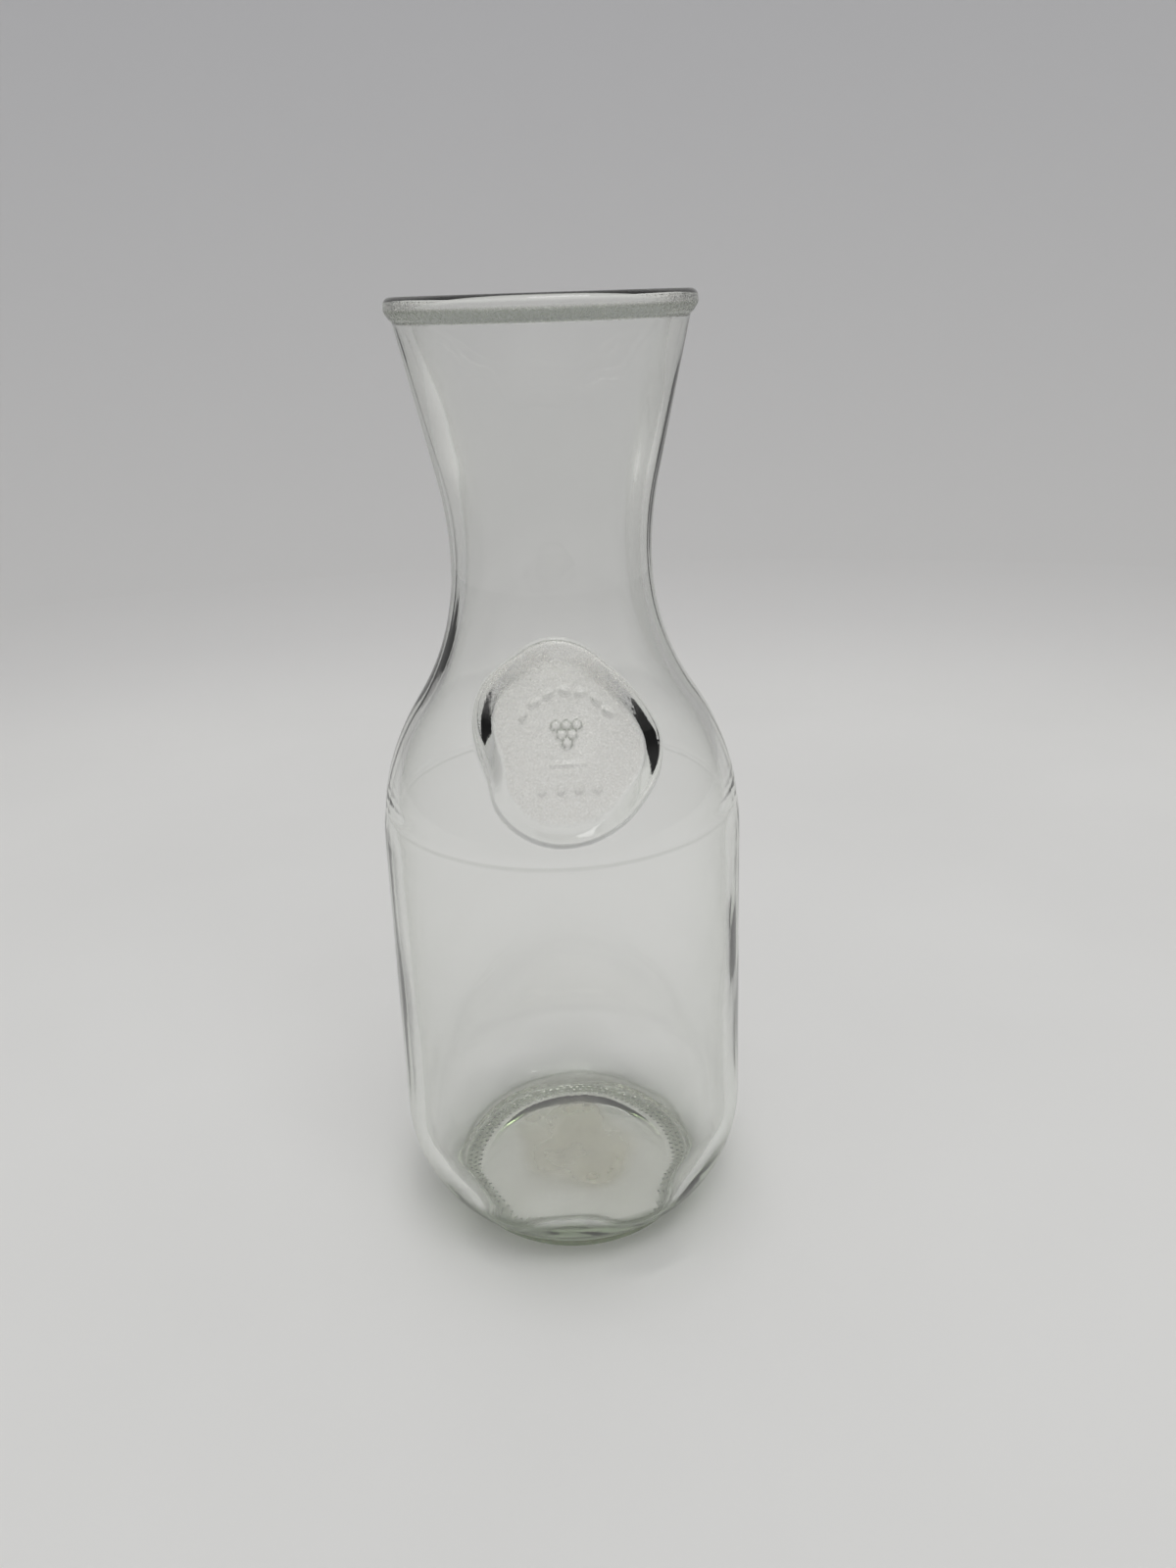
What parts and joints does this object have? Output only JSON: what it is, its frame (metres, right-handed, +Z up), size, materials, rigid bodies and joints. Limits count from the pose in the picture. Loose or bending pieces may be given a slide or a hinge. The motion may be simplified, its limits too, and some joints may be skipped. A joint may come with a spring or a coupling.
{
  "type": "glass wine carafe",
  "caption": "Clear glass carafe with a flared collared mouth, hourglass neck, raised shoulder seal and thick footed base; holds and pours drinks.",
  "frame": {"origin": "centre of the bearing ring, on the plane the carafe stands on", "axes": "+Z up along the carafe's axis, towards the mouth; -Y towards the front, where the raised seal is; +X to the right of a viewer who faces the seal"},
  "size_m": [0.1008, 0.1008, 0.257],
  "materials": {
    "clear_glass": "clear pressed soda-lime glass with a faint grey-green tint, smooth and glossy, frosted in places on the seal"
  },
  "bodies": {
    "root": {"glass_body": "clear_glass"}
  },
  "joints": []
}
